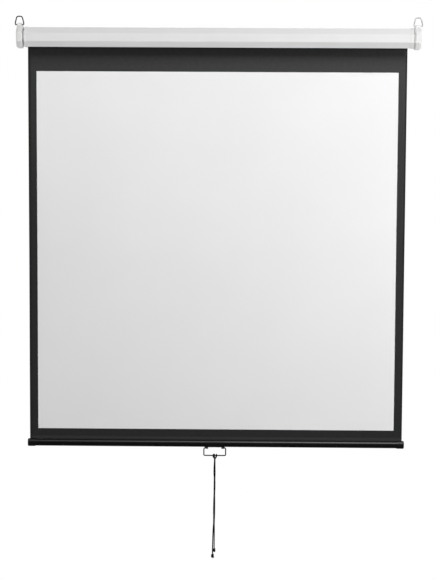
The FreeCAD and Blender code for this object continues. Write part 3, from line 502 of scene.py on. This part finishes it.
# %% Tie the end knots
KNOT_CORD = 4.6 * MM
WRAPS = 3
WRAP_STARTS, WRAP_MARGIN = 3.0, 4.2
CORE_FINENESS, WRAP_FINENESS = 24, 8


def stopper_knot(name, strand_name, top_radius, low_radius, height, tail):
    """The core of a strand runs down through wraps that go round it; sizes in millimetres"""
    end = strand_lines[strand_name][-1]

    def under(x, y, depth):
        return end + Vector((x, y, -depth)) * MM

    core = [
        under(0, 0, -4), under(0, 0, 2), under(0.3, 0.1, height * 0.5),
        under(-0.2, 0, height), under(0.4, 0.2, height + tail),
    ]
    wraps = [under(0.6, 0, 1.8)]
    for i in range(WRAPS * TURN_STEPS + 1):
        share = i / (WRAPS * TURN_STEPS)
        radius = top_radius + (low_radius - top_radius) * share
        angle = 2 * math.pi * WRAPS * share
        depth = WRAP_STARTS + (height - WRAP_MARGIN) * share
        wraps.append(under(radius * math.cos(angle), radius * math.sin(angle), depth))
    wraps.append(under(0.6, 0.3, height + 0.6))
    verts, faces = braid(smooth_line(name + "_core", core, CORE_FINENESS), KNOT_CORD)
    more_verts, more_faces = braid(smooth_line(name + "_wraps", wraps, WRAP_FINENESS), KNOT_CORD)
    faces = faces + [tuple(i + len(verts) for i in face) for face in more_faces]
    knot = add_piece(name, verts + more_verts, faces, "pull_cord", [cord_black])
    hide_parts("cord_" + name)
    print(name, "across, deep and high:", [round(side * 1000, 1) for side in knot.dimensions], "mm")
    return knot


long_knot = stopper_knot("long_knot", "long_strand", top_radius=3.7, low_radius=4.7, height=16.2, tail=1.4)
short_knot = stopper_knot("short_knot", "short_strand", top_radius=3.5, low_radius=3.5, height=15.2, tail=1.4)

for strand_name, knot in (("long_strand", long_knot), ("short_strand", short_knot)):
    line = strand_lines[strand_name]
    print(strand_name, "declared at", round(line_length(line), 3), "m")

# %% [markdown]
# ## The cloth's finish
#
# The screen is a coated cloth: a matt white face with a black border printed round the picture, and a black
# back that stops light from shining through. Just above the bar the cloth is doubled and welded into a hem,
# where the black is painted paler as painted light. Two materials on one sheet do that, and the border and
# the painted light are drawn from the position on the cloth, so they stay sharp. Both faces share the fine
# weave of the base cloth under the coating.

# %% Mark out the picture area
SIDE_BORDER = 35 * MM
PICTURE_TOP, PICTURE_BOTTOM = -222 * MM, -1722 * MM
EDGE_BLUR = 0.4 * MM
cloth_low, cloth_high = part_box("screen_fabric")
PICTURE_LEFT, PICTURE_RIGHT = cloth_low.x + SIDE_BORDER, cloth_high.x - SIDE_BORDER


def inside_picture(tree):
    """1 on the white picture area, 0 on the border"""
    axes = axes_of(tree)
    inside = None
    for axis, edge, inward in (
        ("X", PICTURE_LEFT, 1), ("X", PICTURE_RIGHT, -1), ("Z", PICTURE_BOTTOM, 1), ("Z", PICTURE_TOP, -1),
    ):
        blur = inward * EDGE_BLUR
        side = spread(tree, axes[axis], 0.0, 1.0, edge - blur, edge + blur)
        inside = side if inside is None else combine(tree, "MULTIPLY", inside, side)
    return inside


print("picture:", round(PICTURE_RIGHT - PICTURE_LEFT, 3), "by", round(PICTURE_TOP - PICTURE_BOTTOM, 3), "m")

# %% Weave the base cloth
THREAD_SCALE = 390


def weave(tree):
    """Height of a plain weave: threads across and threads down"""
    top = None
    for direction in ("X", "Z"):
        threads = tree.nodes.new("ShaderNodeTexWave")
        threads.bands_direction = direction
        threads.inputs["Scale"].default_value = THREAD_SCALE
        threads.inputs["Distortion"].default_value = 0.6
        threads.inputs["Detail Scale"].default_value = 2.0
        tree.links.new(position(tree), threads.inputs["Vector"])
        thread = threads.outputs["Fac"]
        top = thread if top is None else combine(tree, "MAXIMUM", top, thread)
    return top


print("thread scale:", THREAD_SCALE)

# %% Coat and print the face
# A band of painted light: just above the bar the border's black is painted paler, down to a grey at the bar.
PAINTED_LIGHT_TOP, PAINTED_LIGHT_BOTTOM = -1752 * MM, -1769 * MM
PAINTED_LIGHT_GREY = (0.06, 0.06, 0.061)

face_cloth, face_tree, face_shader = new_finish("screen_face", 0.5, gloss=0.112)
white_coat = mottled(face_tree, grey(0.831), grey(0.851), 2.2)
black_ink = mottled(face_tree, (0.006, 0.006, 0.0063), (0.009, 0.009, 0.0094), 60)
# Painted light on the lowest part of the border, growing towards the bar.
in_painted_light = spread(face_tree, axes_of(face_tree)["Z"], 0.0, 1.0, PAINTED_LIGHT_TOP, PAINTED_LIGHT_BOTTOM)
border_ink_and_painted_light = shade_between(face_tree, in_painted_light, black_ink, PAINTED_LIGHT_GREY)
printed_face = shade_between(face_tree, inside_picture(face_tree), border_ink_and_painted_light, white_coat)
face_tree.links.new(printed_face, face_shader.inputs["Base Color"])
raise_grain(face_tree, face_shader, weave(face_tree), 0.03 * MM, 0.35)
print("face:", face_cloth.name)

# %% Blacken the back
back_cloth, back_tree, back_shader = new_finish("screen_back", 0.75, gloss=0.2)
mottle(back_tree, back_shader, (0.012, 0.012, 0.013), (0.022, 0.022, 0.023), 40)
raise_grain(back_tree, back_shader, weave(back_tree), 0.05 * MM, 0.5)
print("back:", back_cloth.name)

# %% [markdown]
# ## The hanging cloth
#
# The cloth hangs from the roller through the slot and down into the bar. The bar's weight keeps it flat, but
# such a cloth curls back a little along its free edges, most of all half way down. So the sheet is a fine
# grid with a front and a back 0.4 mm apart, and the curl moves both together. The lowest stretch of the
# sheet, which would lie between the bar's caps with the cloth wound up, is left flat, or its curled edges
# would cut into them.

# %% Curl the cloth's edges
LEFT_CURL, RIGHT_CURL = 5.0 * MM, 2.5 * MM
CURL_WIDTH = 110 * MM
CURL_LEAN = 1.4
WOUND_SHARE = 0.03027
CLOTH_HEIGHT = cloth_high.z - cloth_low.z
bar_cap_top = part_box("left_bar_cap")[1].z
CURL_ENDS = 1.0 - (bar_cap_top - cloth_low.z) / (WOUND_SHARE * CLOTH_HEIGHT)


def edge_curl(x, z):
    """How far the cloth leans back from its plane: along the free edges, and not at the slot or the bar"""
    share_down = (cloth_high.z - z) / CLOTH_HEIGHT
    hang = math.sin(math.pi * min(1.0, max(0.0, share_down / CURL_ENDS) ** CURL_LEAN)) ** 2
    left = max(0.0, (cloth_low.x + CURL_WIDTH - x) / CURL_WIDTH) ** 2
    right = max(0.0, (x - cloth_high.x + CURL_WIDTH) / CURL_WIDTH) ** 2
    return hang * (LEFT_CURL * left + RIGHT_CURL * right)


print("curl ends at", round(CURL_ENDS, 3), "of the way down")

# %% Hang the cloth
COLUMNS, ROWS = 120, 96
ACROSS = COLUMNS + 1
BACK = ACROSS * (ROWS + 1)
FACE_SIDE, BACK_SIDE = 0, 1

cloth_points = []
for y in (cloth_low.y, cloth_high.y):
    for r in range(ROWS + 1):
        z = cloth_high.z + (cloth_low.z - cloth_high.z) * r / ROWS
        for c in range(COLUMNS + 1):
            x = cloth_low.x + (cloth_high.x - cloth_low.x) * c / COLUMNS
            cloth_points.append((x, y + edge_curl(x, z), z))

cloth_faces, face_finish = [], []
for r in range(ROWS):
    for c in range(COLUMNS):
        a = r * ACROSS + c
        quad = (a, a + 1, a + 1 + ACROSS, a + ACROSS)
        cloth_faces += [quad, tuple(i + BACK for i in reversed(quad))]
        face_finish += [FACE_SIDE, BACK_SIDE]
rim = list(range(ACROSS))
rim += [r * ACROSS + COLUMNS for r in range(1, ROWS + 1)]
rim += [ROWS * ACROSS + c for c in range(COLUMNS - 1, -1, -1)]
rim += [r * ACROSS for r in range(ROWS - 1, 0, -1)]
for a, b in zip(rim, rim[1:] + rim[:1]):
    cloth_faces.append((a, b, b + BACK, a + BACK))
    face_finish.append(BACK_SIDE)

cloth = add_piece("screen_cloth", cloth_points, cloth_faces, "housing", [face_cloth, back_cloth])
cloth.data.polygons.foreach_set("material_index", face_finish)
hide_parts("screen_fabric")
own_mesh(cloth)
print("cloth:", [round(d, 4) for d in cloth.dimensions], "faces:", len(cloth.data.polygons))

# %% [markdown]
# ## The cloth on the roller
#
# With the screen down, the last two turns of the cloth stay on the roller, so that the pull never reaches its
# fixing. The case hides them and a sleeve would do, but a spiral of one strip, with its black back outside,
# is how the cloth lies when the case is opened.

# %% Wind the last two turns
roll_low, roll_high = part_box("fabric_roll")
ROLL_Y, ROLL_Z = (roll_low.y + roll_high.y) / 2, (roll_low.z + roll_high.z) / 2
ROLL_OUTSIDE = (roll_high.z - roll_low.z) / 2
ROLL_TURNS, ROLL_STEPS = 2, 64
STRIP = 0.36 * MM
PITCH = 0.39 * MM

roll_points = []
for i in range(ROLL_TURNS * ROLL_STEPS + 1):
    angle = 2 * math.pi * i / ROLL_STEPS
    outside = ROLL_OUTSIDE - PITCH * (ROLL_TURNS - i / ROLL_STEPS)
    for x in (roll_low.x, roll_high.x):
        for radius in (outside, outside - STRIP):
            roll_points.append((x, ROLL_Y + radius * math.cos(angle), ROLL_Z + radius * math.sin(angle)))
roll_faces = []
for i in range(ROLL_TURNS * ROLL_STEPS):
    a, b = 4 * i, 4 * i + 4
    roll_faces += [(a, a + 2, b + 2, b), (a + 1, b + 1, b + 3, a + 3)]
    roll_faces += [(a, b, b + 1, a + 1), (a + 2, a + 3, b + 3, b + 2)]
roll_faces += [(0, 1, 3, 2), tuple(len(roll_points) - k for k in (4, 2, 1, 3))]
roll = add_piece("cloth_on_roller", roll_points, roll_faces, "roller", [back_cloth])
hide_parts("fabric_roll")
print("roll:", ROLL_TURNS, "turns, outside", round(ROLL_OUTSIDE * 1000, 2), "mm")

# %% [markdown]
# ## White paint and white moulding
#
# The case is folded sheet steel with a smooth satin white paint, and its end caps are moulded in a white
# plastic that is a touch warmer. Both are pale, so the light shows their folds; a fine orange peel in the
# paint and a gentle shift of tone keep them from looking like a drawing.

# %% White finishes
case_paint, paint_tree, paint_shader = new_finish("case_white_paint", 0.5, gloss=0.06)
mottle(paint_tree, paint_shader, grey(0.728), grey(0.75), 6)
uneven_gloss(paint_tree, paint_shader, 0.46, 0.56, 25)
raise_grain(paint_tree, paint_shader, cloudy(paint_tree, 700, 2.0), 0.03 * MM, 0.25)

cap_white, cap_tree, cap_shader = new_finish("cap_white_moulding", 0.48, gloss=0.06)
mottle(cap_tree, cap_shader, (0.742, 0.742, 0.738), (0.766, 0.766, 0.762), 14)
uneven_gloss(cap_tree, cap_shader, 0.44, 0.54, 60)
raise_grain(cap_tree, cap_shader, cloudy(cap_tree, 1500, 2.0), 0.02 * MM, 0.25)
print("white finishes:", case_paint.name, cap_white.name)

# %% [markdown]
# ## Metals
#
# The brackets and screws are zinc-plated, the roller is galvanised tube, and the spring is plain drawn wire.
# A metal is mostly its reflection, so each has its own tone and roughness, with fine lines drawn out along
# the wire or the tube. The two hanging loops are one dull wire with little shine, made as matt coats over the
# wire and not as bare metal, in two copies: the left one painted dark as painted shade, the right one painted
# pale as painted light.

# %% Bright metals


def metal_finish(name, dark, light, rough_low, rough_high, stretch):
    """A metal whose tone and gloss wander in fine lines along its length"""
    finish, tree, shader = new_finish(name, rough_low, metal=1.0)
    mottle(tree, shader, dark, light, 500, 4.0, stretch)
    uneven_gloss(tree, shader, rough_low, rough_high, 700, stretch)
    raise_grain(tree, shader, cloudy(tree, 1800, 2.0, stretch), 0.01 * MM, 0.4)
    return finish


zinc = metal_finish("zinc_plate", (0.5, 0.51, 0.53), (0.66, 0.67, 0.69), 0.3, 0.46, (1, 1, 1))
galvanised = metal_finish("galvanised_tube", (0.46, 0.47, 0.48), (0.64, 0.65, 0.66), 0.34, 0.5, (0.1, 1, 1))
spring_wire = metal_finish("spring_wire", (0.2, 0.2, 0.21), (0.34, 0.34, 0.35), 0.3, 0.45, (0.3, 1, 1))
print("bright metals:", zinc.name, galvanised.name, spring_wire.name)

# %% Dull wires


def dull_wire(name, dark, light, gloss):
    """Wire under a dull coat that is blotched by handling"""
    finish, tree, shader = new_finish(name, 0.55, gloss=gloss)
    mottle(tree, shader, dark, light, 120)
    uneven_gloss(tree, shader, 0.5, 0.6, 300)
    raise_grain(tree, shader, cloudy(tree, 1800, 2.0), 0.01 * MM, 0.4)
    return finish


# Painted shade and painted light: one wire in a dark copy for the left loop and a pale copy for the right.
shaded_loop = dull_wire("left_loop_painted_shade", grey(0.03), grey(0.06), 0.04)
lit_loop = dull_wire("right_loop_painted_light", grey(0.43), grey(0.49), 0.1)
print("dull wires:", shaded_loop.name, lit_loop.name)

# %% [markdown]
# ## Blacks and nylon
#
# The bar is a steel tube in a smooth black paint that shows one soft line of light along it, its caps and the
# bail's saddle are black plastic, and the bail is black painted wire. The saddle turns brownish towards its
# lower edge. A black surface is almost only gloss, so its base is very dark and its gloss is set low,
# because the white room is mirrored in it from every side.

# %% Black finishes


def black_finish(name, dark, light, rough_low, rough_high, gloss, grain_scale, grain_depth):
    """A black whose gloss wanders a little, over a fine grain"""
    finish, tree, shader = new_finish(name, rough_low, gloss=gloss)
    mottle(tree, shader, dark, light, 50)
    uneven_gloss(tree, shader, rough_low, rough_high, 40)
    raise_grain(tree, shader, cloudy(tree, grain_scale, 2.0), grain_depth, 0.3)
    return finish


bar_paint = black_finish("bar_black_paint", grey(0.002), grey(0.004), 0.34, 0.38, 0.03, 600, 0.03 * MM)
black_plastic = black_finish("black_moulding", grey(0.003), grey(0.006), 0.36, 0.42, 0.03, 1400, 0.03 * MM)
bail_paint = black_finish(
    "bail_black_paint", grey(0.003), (0.007, 0.0065, 0.006), 0.34, 0.44, 0.04, 1200, 0.02 * MM,
)
print("blacks:", bar_paint.name, black_plastic.name, bail_paint.name)

# %% Pale nylon
nylon, nylon_tree, nylon_shader = new_finish("pale_nylon", 0.5, gloss=0.4)
mottle(nylon_tree, nylon_shader, (0.66, 0.65, 0.6), (0.74, 0.73, 0.68), 80)
uneven_gloss(nylon_tree, nylon_shader, 0.42, 0.56, 120)
raise_grain(nylon_tree, nylon_shader, cloudy(nylon_tree, 1600, 2.0), 0.02 * MM, 0.3)
print("nylon:", nylon.name)

# %% The saddle's brownish edge
saddle_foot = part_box("handle_saddle")[0].z
BROWN_STARTS, BROWN_FULL = saddle_foot + 8.5 * MM, saddle_foot + 4.0 * MM
EDGE_BROWN = (0.085, 0.072, 0.066)

saddle_black, saddle_tree, saddle_shader = new_finish("saddle_moulding", 0.4, gloss=0.03)
browner = spread(saddle_tree, axes_of(saddle_tree)["Z"], 0.0, 1.0, BROWN_STARTS, BROWN_FULL)
saddle_colour = shade_between(saddle_tree, browner, grey(0.004), EDGE_BROWN)
saddle_tree.links.new(saddle_colour, saddle_shader.inputs["Base Color"])
uneven_gloss(saddle_tree, saddle_shader, 0.36, 0.44, 60)
raise_grain(saddle_tree, saddle_shader, cloudy(saddle_tree, 1400, 2.0), 0.03 * MM, 0.3)
print("brown from", round(BROWN_STARTS, 4), "down to", round(BROWN_FULL, 4), "m")

# %% [markdown]
# ## Dress the rigid pieces
#
# The rigid solids keep their own shape, with the folds of the case and the slopes of the caps, and only take
# a finish. A list of each piece by name is longer than one rule for all, but it shows what every piece is
# made of, and the last line says if one was forgotten.

# %% Give each rigid piece its finish
FINISH_OF = {
    "case": case_paint,
    "left_end_cap": cap_white, "right_end_cap": cap_white,
    "left_hanging_loop": shaded_loop, "right_hanging_loop": lit_loop,
    "left_cap_screws": zinc, "right_cap_screws": zinc,
    "left_bracket_screws": zinc, "right_bracket_screws": zinc,
    "left_roller_bracket": zinc, "right_roller_bracket": zinc,
    "roller_tube": galvanised, "idle_pin": zinc, "pawl_pins": zinc, "spear": zinc, "collar_pin": zinc,
    "upper_pawl": zinc, "lower_pawl": zinc, "ratchet_wheel": zinc, "torsion_spring": spring_wire,
    "idle_plug": nylon, "idle_bush": nylon, "spear_plug": nylon, "spring_collar": nylon, "hem_spline": nylon,
    "bottom_bar": bar_paint, "left_bar_cap": black_plastic, "right_bar_cap": black_plastic,
    "handle_saddle": saddle_black, "saddle_screws": bail_paint, "pull_bail": bail_paint,
}
for piece_name, finish in FINISH_OF.items():
    solid[piece_name].data.materials.clear()
    solid[piece_name].data.materials.append(finish)
undressed = [n for n, o in solid.items() if not o.hide_render and n not in FINISH_OF]
print("dressed:", len(FINISH_OF), "left without a finish:", undressed)
